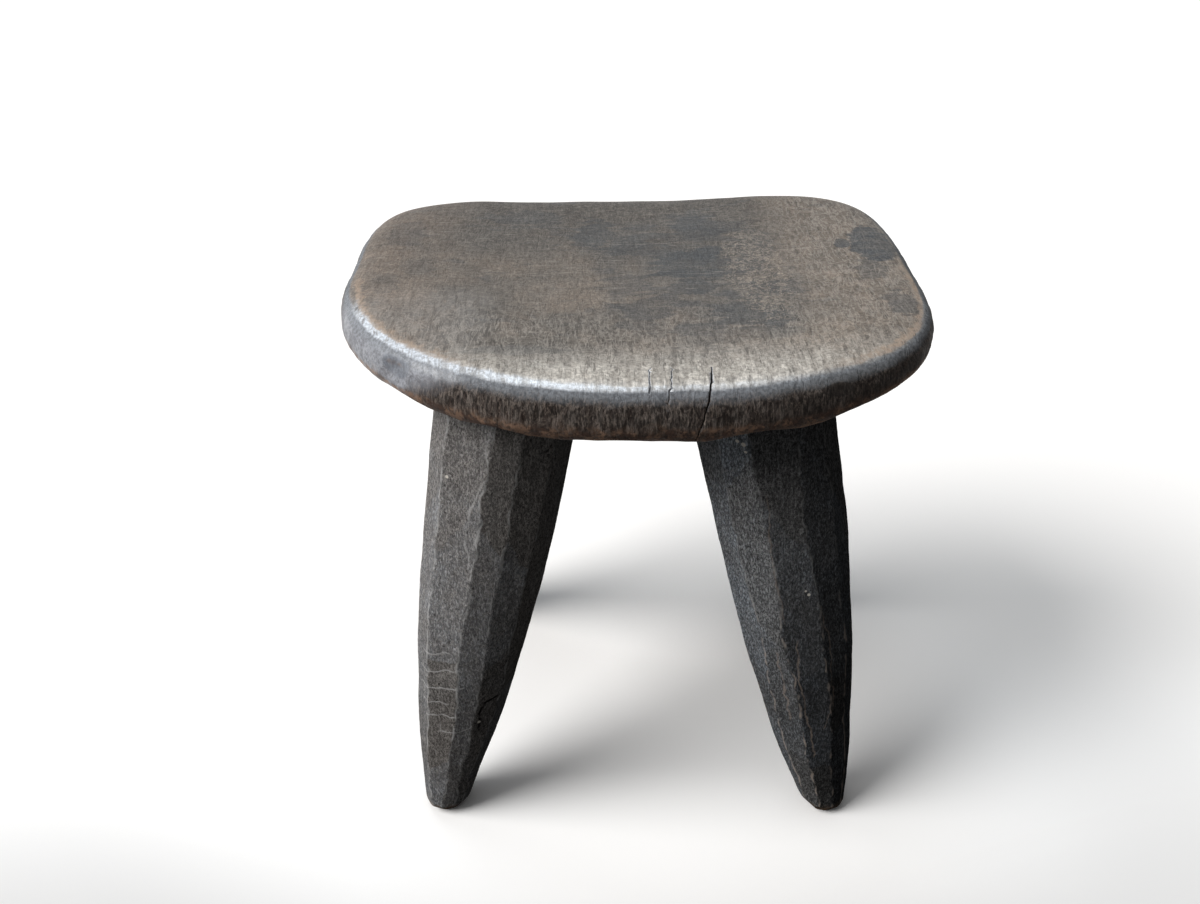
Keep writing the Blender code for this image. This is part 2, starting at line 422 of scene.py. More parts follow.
def carve_leg(node_name):
    """A leg with worn ridges and weathered faces in place of its solid."""
    leg = copy_of(node_name, node_name + "_carved")
    ridges = ridge_points(leg)
    skin, tones = facet_tones(leg)
    finish_with(leg, "REMESH", mode="VOXEL", voxel_size=LEG_NET)
    finish_with(leg, "SMOOTH", factor=LEG_SOFTENING, iterations=1)
    mark_cuts(leg, ridges, skin, tones)
    displace(leg, wander, WANDER_REACH, direction="RGB_TO_XYZ")
    displace(leg, hollows, HOLLOW_DEPTH)
    displace(leg, weathering, WEATHER_DEPTH)
    points = rows_of(leg, "co")
    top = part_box(node_name)[1].z
    buried = (rows_of(leg, "normal")[:, 2] > TOP_FACING) & (points[:, 2] > top - TOP_ZONE)
    points[buried, 2] += SEAM_LIFT
    points[:, 2] = np.maximum(points[:, 2], 0)
    leg.data.vertices.foreach_set("co", points.ravel())
    leg.data.update()
    only(leg)
    bpy.ops.object.shade_smooth()
    print(leg.name, len(leg.data.polygons), "faces,", len(set(tones)), "cuts")
    return leg


legs = {name: carve_leg(name) for name in LEGS}

# %% [markdown]
# The seat's solid is a dished slab with rolled edges. Subdivision rounds its facets away. Two shallow scoops
# come out of the rim, where a stroke went deep: a stretched ball is the cutter. An even net of small faces
# then gives points to carve with.

# %% Shape the seat
QUAD_ANGLE = math.radians(40)
SEAT_NET = 0.0018
SEAT_SOFTENING = 0.5
SCOOPS = (
    # name, centre, reach along its three axes, turn in degrees
    ("dent_left", (-0.1568, -0.1342, 0.3500), (0.034, 0.024, 0.022), -47),
    ("notch_right", (0.1155, -0.1735, 0.3540), (0.012, 0.010, 0.008), 10),
)

seat = copy_of("seat", "seat_carved")
only(seat)
bpy.ops.object.mode_set(mode="EDIT")
bpy.ops.mesh.select_all(action="SELECT")
bpy.ops.mesh.tris_convert_to_quads(face_threshold=QUAD_ANGLE, shape_threshold=QUAD_ANGLE)
bpy.ops.object.mode_set(mode="OBJECT")
finish_with(seat, "SUBSURF", levels=2, render_levels=2)

for name, centre, reach, turn in SCOOPS:
    bpy.ops.object.select_all(action="DESELECT")
    bpy.ops.mesh.primitive_uv_sphere_add(segments=64, ring_count=32, radius=1, location=centre)
    scoop = bpy.context.active_object
    scoop.name = name
    scoop.rotation_euler.z = math.radians(turn)
    scoop.scale = reach
    bpy.ops.object.transform_apply(location=True, rotation=True, scale=True)
    finish_with(seat, "BOOLEAN", object=scoop, operation="DIFFERENCE", solver="EXACT")
    bpy.data.objects.remove(scoop)

finish_with(seat, "REMESH", mode="VOXEL", voxel_size=SEAT_NET)
finish_with(seat, "SMOOTH", factor=SEAT_SOFTENING, iterations=4)
print("seat:", len(seat.data.polygons), "faces,", len(SCOOPS), "scoops")

# %% [markdown]
# Three kinds of tool mark go into the seat: the slow unevenness of hand scraping all over, finer ripples on
# the rim, and adze scallops on the hidden underside. A vertex group tells a modifier where its mark belongs,
# and the way the skin faces tells rim and underside apart.

# %% Leave tool marks on the seat
SCRAPING_DEPTH = 0.0030
RIPPLE_DEPTH = 0.0012
SCALLOP_DEPTH = 0.0040
SCALLOP_SIZE = 0.035
RIM_FACING = 0.9


def ease(values, low, high):
    """A soft step from 0 at low to 1 at high."""
    share = np.clip((values - low) / (high - low), 0, 1)
    return share * share * (3 - 2 * share)


def weigh(piece, name, weights, levels=24):
    """A vertex group whose weights are rounded to a few levels."""
    group = piece.vertex_groups.new(name=name)
    nearest = np.round(weights * levels).astype(int)
    for level in range(1, levels + 1):
        members = np.nonzero(nearest == level)[0].tolist()
        if members:
            group.add(members, level / levels, "REPLACE")
    return name


upward = rows_of(seat, "normal")[:, 2]
rim = weigh(seat, "rim", ease(RIM_FACING - np.abs(upward), 0.0, 0.4))
underside = weigh(seat, "underside", ease(-upward, 0.55, 0.9))
scallops = bpy.data.textures.new("adze_scallops", "VORONOI")
scallops.noise_scale = SCALLOP_SIZE
displace(seat, clouds("hand_scraping", 0.075, depth=1), SCRAPING_DEPTH)
displace(seat, clouds("scraper_ripples", 0.014, depth=2), RIPPLE_DEPTH, vertex_group=rim)
displace(seat, scallops, SCALLOP_DEPTH, vertex_group=underside)
only(seat)
bpy.ops.object.shade_smooth()
print("tool marks on:", [group.name for group in seat.vertex_groups])

# %% [markdown]
# Old blocks of wood split a little as they dry. The widest crack runs over the front edge from the top to the
# underside, and two fine ones beside it close up on the edge face. A wedge-shaped blade is laid along the
# rim's own surface, found by casting rays at it, and cut away.

# %% Cut the drying cracks
CRACK_AXIS_Y = -0.150
CRACK_AXIS_Z = 0.343
CRACK_STATIONS = 18
CRACK_BEND = 2.2
CRACK_JITTER = 0.0005
CRACK_TIP, CRACK_LEAD, CRACK_SPAN, CRACK_FULLNESS = 0.12, 0.06, 0.9, 0.7
BLADE_PROUD = 0.0006
RAY_START = 0.12
CRACKS = (
    # x where it starts, x where it ends, angle of start and end about the rim, width, depth
    (0.0430, 0.0310, 100, -48, 0.00095, 0.0050),
    (0.0205, 0.0165, 104, 5, 0.00028, 0.0014),
    (0.0078, 0.0070, 106, 30, 0.00022, 0.0010),
)


def rim_point(x, angle):
    """Where the seat's skin lies at an angle about the front rim, and the way it faces there."""
    outward = Vector((0, -math.cos(angle), math.sin(angle)))
    axis = Vector((x, CRACK_AXIS_Y, CRACK_AXIS_Z))
    _, point, normal, _ = seat.ray_cast(axis + outward * RAY_START, -outward)
    return point, normal


def gape(share):
    """How far a crack is open along its way: full in the middle and nearly shut at its ends."""
    swell = math.sin(math.pi * min(1, CRACK_LEAD + share * CRACK_SPAN)) ** CRACK_FULLNESS
    return CRACK_TIP + (1 - CRACK_TIP) * swell


def crack_blade(number, start_x, end_x, start, end, width, depth):
    """A closed wedge that follows the rim and thins out to its ends."""
    draw = random.Random(number)
    shell = bmesh.new()
    rows = []
    for i in range(CRACK_STATIONS + 1):
        share = i / CRACK_STATIONS
        x = start_x + (end_x - start_x) * share ** CRACK_BEND + draw.uniform(-1, 1) * CRACK_JITTER
        point, normal = rim_point(x, math.radians(start + (end - start) * share))
        side = Vector((width * gape(share) / 2, 0, 0))
        outer = point + normal * BLADE_PROUD
        inner = point - normal * depth * gape(share)
        rows.append([shell.verts.new(p) for p in (outer - side, outer + side, inner)])
    for before, after in zip(rows, rows[1:]):
        for a, b in ((0, 1), (1, 2), (2, 0)):
            shell.faces.new((before[a], before[b], after[b], after[a]))
    shell.faces.new(rows[0][::-1])
    shell.faces.new(rows[-1])
    bmesh.ops.recalc_face_normals(shell, faces=shell.faces)
    mesh = bpy.data.meshes.new(f"crack_{number}")
    shell.to_mesh(mesh)
    shell.free()
    blade = bpy.data.objects.new(mesh.name, mesh)
    bpy.context.scene.collection.objects.link(blade)
    return blade


bpy.context.view_layer.update()
blades = [crack_blade(number, *sizes) for number, sizes in enumerate(CRACKS)]
for blade in blades:
    finish_with(seat, "BOOLEAN", object=blade, operation="DIFFERENCE", solver="MANIFOLD")
    bpy.data.objects.remove(blade)
print("seat with", len(CRACKS), "cracks:", len(seat.data.polygons), "faces")

# %% [markdown]
# Several finishes share the same effects: cloudy patina, grain drawn out along the wood, a skin like orange
# peel, soft-edged stains and lines drawn by hand. Each is a node group, built once and given its own values
# where it is used.

# %% Shared surface effects
def effect(name, inputs, outputs):
    """An empty node group with named sockets; returns its tree, its inputs and its output node."""
    tree = bpy.data.node_groups.new(name, "ShaderNodeTree")
    kinds = {"vector": "NodeSocketVector", "value": "NodeSocketFloat"}
    for label, kind in inputs.items():
        tree.interface.new_socket(name=label, in_out="INPUT", socket_type=kinds[kind])
    for label in outputs:
        tree.interface.new_socket(name=label, in_out="OUTPUT", socket_type="NodeSocketFloat")
    return tree, node(tree, "NodeGroupInput").outputs, node(tree, "NodeGroupOutput").inputs


def use(tree, group, inputs):
    """Place a shared effect in a material."""
    return node(tree, "ShaderNodeGroup", inputs, node_tree=group).outputs


patina, given, result = effect("cloudy_patina", {"Place": "vector", "Scale": "value"}, ("Cloud", "Speckle"))
broad = noise(patina, given["Place"], given["Scale"], 5.0, 0.62, 0.4)
fine = noise(patina, given["Place"], times(patina, given["Scale"], 7.0), 4.0, 0.65)
patina.links.new(step(patina, broad, 0.36, 0.64), result["Cloud"])
patina.links.new(step(patina, fine, 0.38, 0.64), result["Speckle"])

grain, given, result = effect("drawn_grain", {"Place": "vector", "Stretch": "vector"}, ("Streak",))
streak = drawn_out(grain, given["Place"], given["Stretch"], 5.0, 0.65, 0.3)
grain.links.new(step(grain, streak, 0.36, 0.66), result["Streak"])

peel, given, result = effect("orange_peel", {"Place": "vector", "Stretch": "vector"}, ("Squiggle", "Pit"))
drawn = vectors(peel, "MULTIPLY", given["Place"], given["Stretch"])
swirl = noise(peel, drawn, 1.0, 2.5, 0.6, 0.7)
off_line = maths(peel, "ABSOLUTE", maths(peel, "SUBTRACT", swirl, 0.5))
peel.links.new(step(peel, off_line, 0.060, 0.010), result["Squiggle"])
peel.links.new(step(peel, noise(peel, drawn, 1.1, 3.0, 0.65), 0.54, 0.66), result["Pit"])

stain_inputs = {"Place": "vector", "Centre": "vector", "Reach": "vector", "Fray": "value", "Ragged": "value"}
stain, given, result = effect("soft_stain", stain_inputs, ("Mask",))
spread = vectors(stain, "DIVIDE", vectors(stain, "SUBTRACT", given["Place"], given["Centre"]), given["Reach"])
frayed = times(stain, given["Fray"], given["Ragged"])
edge = maths(stain, "ADD", vectors(stain, "LENGTH", spread), frayed)
stain.links.new(step(stain, edge, 1.03, 0.86), result["Mask"])

line_inputs = {"Place": "vector", "Start": "vector", "End": "vector", "Width": "value"}
line, given, result = effect("drawn_line", line_inputs, ("Mask",))
past = vectors(line, "SUBTRACT", given["Place"], given["Start"])
reach = vectors(line, "SUBTRACT", given["End"], given["Start"])
length_squared = vectors(line, "DOT_PRODUCT", reach, reach)
share = maths(line, "DIVIDE", vectors(line, "DOT_PRODUCT", past, reach), length_squared)
share = node(line, "ShaderNodeClamp", {"Value": share}).outputs[0]
away = vectors(line, "LENGTH", vectors(line, "SUBTRACT", past, scaled(line, reach, share)))
line.links.new(step(line, maths(line, "DIVIDE", away, given["Width"]), 1.0, 0.3), result["Mask"])
print("effects:", [g.name for g in bpy.data.node_groups])

# %% [markdown]
# Stains and lines need ragged edges to look like chance. These helpers place a patch that noise has frayed,
# and make a straight line waver.

# %% Frayed patches and wavering lines
FRAY_STRETCH = (48.0, 120.0, 80.0)
WAVERS_PER_METRE = 95.0
WAVER_REACH = 0.0065


def about_zero(tree, value):
    """A value from 0 to 1 moved to lie about zero."""
    return maths(tree, "SUBTRACT", value, 0.5)


def fray_of(tree, place):
    """Ragged noise about zero, drawn out sideways, to break up the edge of a stain."""
    return about_zero(tree, drawn_out(tree, place, FRAY_STRETCH, 7.0, 0.68))


def patch(tree, place, fray, centre, reach, ragged):
    """A mask for one stain, dent or fleck."""
    sockets = {"Place": place, "Centre": centre, "Reach": reach, "Fray": fray, "Ragged": ragged}
    return use(tree, stain, sockets)["Mask"]


def waver_of(tree, place):
    """A place that wavers to and fro, so that a straight line through it looks drawn by hand."""
    sockets = {"Vector": place, "Scale": WAVERS_PER_METRE, "Detail": 4.0}
    waver = node(tree, "ShaderNodeTexNoise", sockets).outputs[1]
    waver = scaled(tree, vectors(tree, "SUBTRACT", waver, (0.5, 0.5, 0.5)), WAVER_REACH)
    return vectors(tree, "ADD", place, waver)


print("lines waver by up to", WAVER_REACH * 500, "mm")

# %% [markdown]
# The legs are charcoal black, with a bluish-grey bloom on some of the cuts and a sandy weathered grain. The
# right legs stand in the stool's own shade, and are painted darker and bluer than the left ones: partly
# painted shade, and partly a blacker wood. All legs are painted darker towards the foot, and on the right
# legs the faces turned to the left, towards the light, are painted lighter. A surface's places, directions
# and noises are gathered first, so that each step of the recipe can read them.

# %% Leg finish: the blackened wood
CHARCOAL, BLUE_BLOOM = (0.126, 0.119, 0.114, 1), (0.172, 0.176, 0.184, 1)
BROWN_CLOUD = (0.098, 0.086, 0.078, 1)
PIT_BLACK = (0.022, 0.019, 0.018, 1)
SAND_PALE = (0.40, 0.375, 0.35, 1)
FIBRE_BLACK = (0.030, 0.026, 0.024, 1)
COOLER = (0.94, 1.0, 1.06, 1)
PALE = (0.40, 0.395, 0.39, 1)
BLOOM_SCALE = 24.0
LEG_SAND_STRETCH = (980.0, 980.0, 420.0)
LEG_SKIN_STRETCH = (430.0, 430.0, 310.0)
LEG_FIBRE_STRETCH = (300.0, 300.0, 26.0)
LEG_HAIR_STRETCH = (480.0, 480.0, 24.0)


def leg_surface(tree):
    """What the finish of a leg is made from."""
    coordinates = node(tree, "ShaderNodeTexCoord").outputs
    place = coordinates["Object"]
    axes = axes_of(tree, place)
    on = SimpleNamespace(place=place, z=axes["Z"], leaning=axes_of(tree, coordinates["Normal"])["X"])
    on.right = step(tree, axes["X"], -0.01, 0.01)
    on.ridge = node(tree, "ShaderNodeAttribute", attribute_name="ridge").outputs["Fac"]
    on.cut = node(tree, "ShaderNodeAttribute", attribute_name="cut").outputs["Fac"]
    on.bloom = use(tree, patina, {"Place": place, "Scale": BLOOM_SCALE})
    on.skin = use(tree, peel, {"Place": place, "Stretch": LEG_SKIN_STRETCH})
    on.fibre = use(tree, grain, {"Place": place, "Stretch": LEG_FIBRE_STRETCH})["Streak"]
    on.sandy = maths(tree, "ADD", step(tree, on.cut, 0.2, 0.8, 0.36, 0.24),
                     times(tree, on.bloom["Speckle"], 0.45))
    on.pits = times(tree, on.skin["Pit"], on.sandy)
    return on


def blackened(tree, on):
    """Charcoal wood with bloom, sandy grain, dark pits and pale hairs of fibre."""
    colour = tint(tree, step(tree, on.cut, 0.2, 0.8), CHARCOAL, BLUE_BLOOM)
    colour = tint(tree, times(tree, on.bloom["Cloud"], 0.45), colour, BROWN_CLOUD)
    sand = drawn_out(tree, on.place, LEG_SAND_STRETCH, 2.0, 0.7)
    darkest, brightest = between(tree, on.right, 0.72, 0.60), between(tree, on.right, 2.10, 2.70)
    colour = scaled(tree, colour, step(tree, sand, 0.44, 0.70, darkest, brightest))
    colour = tint(tree, on.pits, colour, PIT_BLACK)
    colour = tint(tree, times(tree, on.skin["Squiggle"], on.sandy, 0.65), colour, SAND_PALE)
    colour = tint(tree, times(tree, on.fibre, 0.25), colour, FIBRE_BLACK)
    hair = step(tree, drawn_out(tree, on.place, LEG_HAIR_STRETCH, 2.0), 0.68, 0.73)
    return tint(tree, times(tree, hair, 0.35), colour, PALE)


def deepened(tree, on, colour):
    """Painted shade and light: darker towards the foot and on the right legs, whose faces turned to the left
    are painted lighter.
    """
    # Painted shade: the right legs are painted darker, and all legs darker towards the foot.
    left_level = step(tree, on.z, 0.22, 0.06, 1.18, 0.88)
    # Painted light: on the right legs the faces turned to the left, towards the light, are painted lighter.
    lit_flank = step(tree, on.leaning, -0.30, -0.65, 0.83, 1.38)
    right_level = times(tree, step(tree, on.z, 0.28, 0.08, 0.84, 0.42), lit_flank)
    colour = scaled(tree, colour, between(tree, on.right, left_level, right_level))
    return tint(tree, on.right, colour, COOLER, "MULTIPLY")


# %% [markdown]
# Use has left its marks on the black: hands and knocks have rubbed the ridges pale, fine checks run across
# the lower part of the left leg, scratches show tan wood on the right one, old whitewash has left a few
# flecks, and the foot is worn to bare wood. The marks that stand out are placed one by one.

# %% Leg finish: the marks of use
TAN, SPLIT = (0.36, 0.285, 0.235, 1), (0.006, 0.005, 0.005, 1)
WHITEWASH = (0.62, 0.58, 0.52, 1)
BARE_FOOT = (0.27, 0.175, 0.105, 1)
FLECKS = (
    # flecks of old whitewash: centre x, y and z, reach
    (-0.1154, -0.1201, 0.2753, 0.0011),
    (-0.1060, -0.1342, 0.0890, 0.0012),
    (0.0620, -0.1287, 0.3020, 0.0012),
    (0.0655, -0.1319, 0.3010, 0.0014),
    (0.0668, -0.1319, 0.2965, 0.0010),
    (0.1107, -0.1427, 0.1962, 0.0011),
    (0.1085, -0.1427, 0.1990, 0.0008),
)
FLECK_DEPTH = 0.006
LEG_LINES = (
    # colour, strength, width and the points that the line runs through, as x and z on the front of the leg
    (PALE, 0.55, 0.0009, ((-0.0879, 0.3048), (-0.0898, 0.2797), (-0.1015, 0.2572), (-0.1053, 0.2357),
                          (-0.1053, 0.2146))),
    (PALE, 0.70, 0.0008, ((-0.1406, 0.1440), (-0.1220, 0.1490))),
    (PALE, 0.75, 0.0008, ((-0.1436, 0.1290), (-0.1230, 0.1350), (-0.1109, 0.1370))),
    (PALE, 0.75, 0.0008, ((-0.1457, 0.1140), (-0.1300, 0.1195), (-0.1144, 0.1210))),
    (PALE, 0.70, 0.0008, ((-0.1437, 0.1030), (-0.1260, 0.1065))),
    (PALE, 0.70, 0.0008, ((-0.1430, 0.0920), (-0.1290, 0.0955), (-0.1190, 0.0960))),
    (PALE, 0.60, 0.0008, ((-0.1332, 0.0810), (-0.1122, 0.0845))),
    (SPLIT, 1.00, 0.0013, ((-0.0925, 0.1085), (-0.1000, 0.1050), (-0.1050, 0.0960), (-0.1075, 0.0800))),
    (TAN, 0.40, 0.0008, ((0.0920, 0.1500), (0.1000, 0.1200), (0.1050, 0.0910))),
    (TAN, 0.50, 0.0009, ((0.1050, 0.1620), (0.1080, 0.1300), (0.1190, 0.0850), (0.1230, 0.0600))),
    (TAN, 0.35, 0.0008, ((0.1190, 0.1865), (0.1290, 0.1500), (0.1330, 0.1050), (0.1295, 0.0850))),
    (TAN, 0.28, 0.0008, ((0.0800, 0.2680), (0.0860, 0.2200), (0.0970, 0.1750))),
)
LEG_LINE_Y = -0.135
LEG_LINE_FLATTEN = 0.02
BUMP_HEIGHT = 0.0005


def rubbed_ridges(tree, on, colour):
    """Pale wear along the ridges, in patches, and tan wood where the lower right ones were knocked."""
    patchy = step(tree, noise(tree, on.place, 55.0), 0.32, 0.50)
    rubbed = times(tree, step(tree, on.ridge, 0.80, 0.95), patchy)
    colour = tint(tree, times(tree, rubbed, between(tree, on.right, 0.75, 0.40)), colour, PALE)
    knocked = times(tree, step(tree, on.z, 0.20, 0.14), on.right)
    return tint(tree, times(tree, rubbed, knocked, 0.6), colour, TAN)


def checked(tree, on, colour):
    """Checks and scratches: wavering lines on the front legs, broken up by noise."""
    flat = vectors(tree, "MULTIPLY", waver_of(tree, on.place), (1.0, LEG_LINE_FLATTEN, 1.0))
    broken = step(tree, noise(tree, on.place, 210.0, 3.0), 0.38, 0.54, 0.45, 1.0)
    for tone, strength, width, corners in LEG_LINES:
        points = [(x, LEG_LINE_Y * LEG_LINE_FLATTEN, z) for x, z in corners]
        drawn = 0.0
        for begin, end in zip(points, points[1:]):
            mark = use(tree, line, {"Place": flat, "Start": begin, "End": end, "Width": width})["Mask"]
            drawn = maths(tree, "MAXIMUM", drawn, mark)
        colour = tint(tree, times(tree, drawn, broken, strength), colour, tone)
    return colour


def flecked(tree, on, colour):
    """Flecks of whitewash, and bare wood at the foot."""
    fray = fray_of(tree, on.place)
    for x, y, z, reach in FLECKS:
        fleck = patch(tree, on.place, fray, (x, y, z), (reach, FLECK_DEPTH, reach), 0.5)
        colour = tint(tree, fleck, colour, WHITEWASH)
    foot = times(tree, step(tree, on.z, 0.012, 0.003), step(tree, noise(tree, on.place, 160.0), 0.35, 0.6))
    return tint(tree, times(tree, foot, 0.8), colour, BARE_FOOT)


def leg_finish():
    """Weathered charcoal wood with rubbed ridges."""
    material, tree, output = new_material("charcoal_leg_wood")
    on = leg_surface(tree)
    colour = deepened(tree, on, blackened(tree, on))
    for marked in (rubbed_ridges, checked, flecked):
        colour = marked(tree, on, colour)
    relief = maths(tree, "SUBTRACT", times(tree, on.skin["Squiggle"], 0.5), on.pits)
    relief = maths(tree, "ADD", relief, times(tree, on.fibre, -0.3))
    bump = node(tree, "ShaderNodeBump", {"Height": relief, "Strength": 0.5, "Distance": BUMP_HEIGHT})
    rough = between(tree, on.skin["Pit"], 0.55, 0.75)
    wood = node(tree, "ShaderNodeBsdfPrincipled", {
        "Base Color": colour, "Roughness": rough, "Normal": bump.outputs[0], "Specular IOR Level": 0.0})
    tree.links.new(wood.outputs[0], output.inputs["Surface"])
    return material


leg_wood = leg_finish()
for leg in legs.values():
    leg.data.materials.append(leg_wood)
print("leg finish:", len(leg_wood.node_tree.nodes), "nodes,", len(LEG_LINES), "lines,", len(FLECKS), "flecks")

# %% [markdown]
# The seat has four zones, which the way its skin faces tells apart: the top, the edge face, the lower rim and
# the underside. They share their noises, so that a streak runs on from one zone into the next. The silver
# patch on the front left corner is a painted reflection of the light from the left, up to a slanting, frayed
# border.

# %% Seat finish: what it is made from
BROAD_SCALE, SMALL_SCALE = 13.0, 34.0
ALONG_STRETCH = (270.0, 34.0, 60.0)
STROKE_STRETCH = (26.0, 95.0, 60.0)
LEATHER_STRETCH = (260.0, 60.0, 170.0)
NETWORK_STRETCH = (210.0, 150.0, 200.0)
UPRIGHT_STRETCH = (400.0, 400.0, 55.0)
SILVER_SLANT, SILVER_HEIGHT = -2.0, 0.345
SILVER_FRAY = 0.06
RIGHT_END_TIP = 0.085


def seat_surface(tree):
    """What the finish of the seat is made from."""
    coordinates = node(tree, "ShaderNodeTexCoord").outputs
    place = coordinates["Object"]
    axes = axes_of(tree, place)
    on = SimpleNamespace(place=place, x=axes["X"], y=axes["Y"], z=axes["Z"])
    on.facing = axes_of(tree, coordinates["Normal"])["Z"]
    on.broad = use(tree, patina, {"Place": place, "Scale": BROAD_SCALE})
    on.small = use(tree, patina, {"Place": place, "Scale": SMALL_SCALE})
    on.along = use(tree, grain, {"Place": place, "Stretch": ALONG_STRETCH})["Streak"]
    on.strokes = use(tree, grain, {"Place": place, "Stretch": STROKE_STRETCH})["Streak"]
    on.upright = use(tree, grain, {"Place": place, "Stretch": UPRIGHT_STRETCH})["Streak"]
    on.leather = use(tree, peel, {"Place": place, "Stretch": LEATHER_STRETCH})
    on.network = use(tree, peel, {"Place": place, "Stretch": NETWORK_STRETCH})["Squiggle"]
    on.grit = step(tree, noise(tree, place, 480.0, 3.0, 0.7), 0.37, 0.63, 0.81, 1.39)
    on.mottle = step(tree, noise(tree, place, 75.0, 6.0, 0.68), 0.46, 0.56)
    on.fray = fray_of(tree, place)
    on.silver_fray = times(tree, about_zero(tree, noise(tree, place, 60.0, 6.0, 0.7)), SILVER_FRAY)
    # The mask of the painted reflection on the front left corner.
    slant = times(tree, maths(tree, "SUBTRACT", on.z, SILVER_HEIGHT), SILVER_SLANT)
    border = maths(tree, "ADD", maths(tree, "ADD", on.x, slant), on.silver_fray)
    on.silver = times(tree, step(tree, border, -0.108, -0.138), step(tree, on.y, -0.01, -0.06))
    on.right_end = step(tree, on.x, 0.05, 0.12)
    on.tipped = maths(tree, "SUBTRACT", on.facing, times(tree, on.right_end, RIGHT_END_TIP))
    return on


# %% [markdown]
# The top is a taupe satin, paler at both ends, and painted darker at the back as painted shade where the
# sheen fades. Oil has stained the middle, in blots that the tool marks across the grain break up. Towards the
# front the top is rubbed pale, and painted paler still as a painted sheen, and its skin is leathery there,
# with fine fissures and pits.

# %% Seat finish: the top
TAUPE_DARK, TAUPE = (0.102, 0.092, 0.082, 1), (0.182, 0.150, 0.123, 1)
# Painted shade: the back of the top is painted darker, where its sheen fades.
BACK_PAINTED_SHADE = (0.040, 0.036, 0.033, 1)
RIGHT_TAN, LEFT_TAN = (0.238, 0.194, 0.156, 1), (0.220, 0.168, 0.132, 1)
GREY_CLOUD, PALE_SPECKLE = (0.092, 0.088, 0.083, 1), (0.25, 0.222, 0.190, 1)
OIL = (0.046, 0.054, 0.062, 1)
CRAZING = (0.36, 0.305, 0.250, 1)
# Partly rubbed wear and partly painted sheen: the front of the top is painted paler.
HANDLED_AND_SHEEN, RUBBED_AND_SHEEN = (0.300, 0.275, 0.245, 1), (0.555, 0.528, 0.485, 1)
SCRATCH, FISSURE = (0.42, 0.39, 0.35, 1), (0.040, 0.036, 0.033, 1)
GRAIN_DARK = (0.060, 0.054, 0.050, 1)
LEATHER_PIT, LEATHER_RIDGE = (0.050, 0.046, 0.043, 1), (0.50, 0.465, 0.42, 1)
BLOT_STRETCH = (24.0, 60.0, 40.0)
SCRATCH_STRETCH = (38.0, 520.0, 60.0)
FISSURE_STRETCH = (340.0, 62.0, 60.0)
TOP_HEIGHT, STAIN_DEPTH = 0.365, 0.05
STAINS = (
    # centre x, centre y, reach x, reach y, strength, raggedness
    (0.0524, 0.0886, 0.0185, 0.0285, 0.72, 2.4),
    (0.0399, 0.0245, 0.0250, 0.0175, 0.78, 2.6),
    (0.0575, 0.0404, 0.0100, 0.0110, 0.78, 2.2),
    (0.0454, -0.0027, 0.0290, 0.0095, 0.76, 2.8),
    (0.0429, -0.0267, 0.0140, 0.0150, 0.70, 2.8),
    (0.0715, -0.0774, 0.0240, 0.0205, 0.68, 2.8),
    (0.0873, -0.0863, 0.0110, 0.0150, 0.78, 2.2),
    (-0.0235, 0.0794, 0.0160, 0.0330, 0.58, 2.8),
    (-0.0019, -0.0182, 0.0120, 0.0200, 0.45, 2.8),
    (0.0017, -0.0866, 0.0170, 0.0080, 0.45, 2.8),
    (0.0901, 0.0348, 0.0120, 0.0300, 0.48, 2.6),
    (0.0600, -0.1050, 0.0400, 0.0120, 0.40, 2.8),
    (0.1690, 0.0290, 0.0155, 0.0380, 0.92, 1.3),
    (0.1496, 0.0335, 0.0060, 0.0095, 0.82, 1.0),
    (0.1600, -0.0180, 0.0120, 0.0200, 0.48, 2.6),
    (0.1680, -0.0780, 0.0120, 0.0180, 0.58, 2.2),
    (-0.1560, 0.0750, 0.0140, 0.0300, 0.30, 2.8),
    (-0.0700, 0.1150, 0.0300, 0.0160, 0.40, 2.8),
    (-0.1410, 0.0100, 0.0120, 0.0160, 0.22, 2.8),
    (-0.1600, -0.0200, 0.0100, 0.0180, 0.25, 2.8),
    (-0.0690, -0.1220, 0.0300, 0.0070, 0.50, 2.4),
)


def top_patch(tree, on, x, y, reach_x, reach_y, ragged):
    """A frayed patch on the seat's top."""
    return patch(tree, on.place, on.fray, (x, y, TOP_HEIGHT), (reach_x, reach_y, STAIN_DEPTH), ragged)


def taupe(tree, on):
    """The top's ground colour, with painted shade towards the back."""
    top = tint(tree, on.broad["Cloud"], TAUPE_DARK, TAUPE)
    # Painted shade towards the back of the top.
    top = tint(tree, step(tree, on.y, -0.05, 0.14, 0.0, 0.95), top, BACK_PAINTED_SHADE)
    top = tint(tree, step(tree, on.x, 0.085, 0.125, 0.0, 0.50), top, RIGHT_TAN)
    top = tint(tree, step(tree, on.x, -0.09, -0.16, 0.0, 0.45), top, LEFT_TAN)
    top = tint(tree, times(tree, on.small["Cloud"], 0.40), top, GREY_CLOUD)
    return tint(tree, times(tree, on.small["Speckle"], 0.25), top, PALE_SPECKLE)


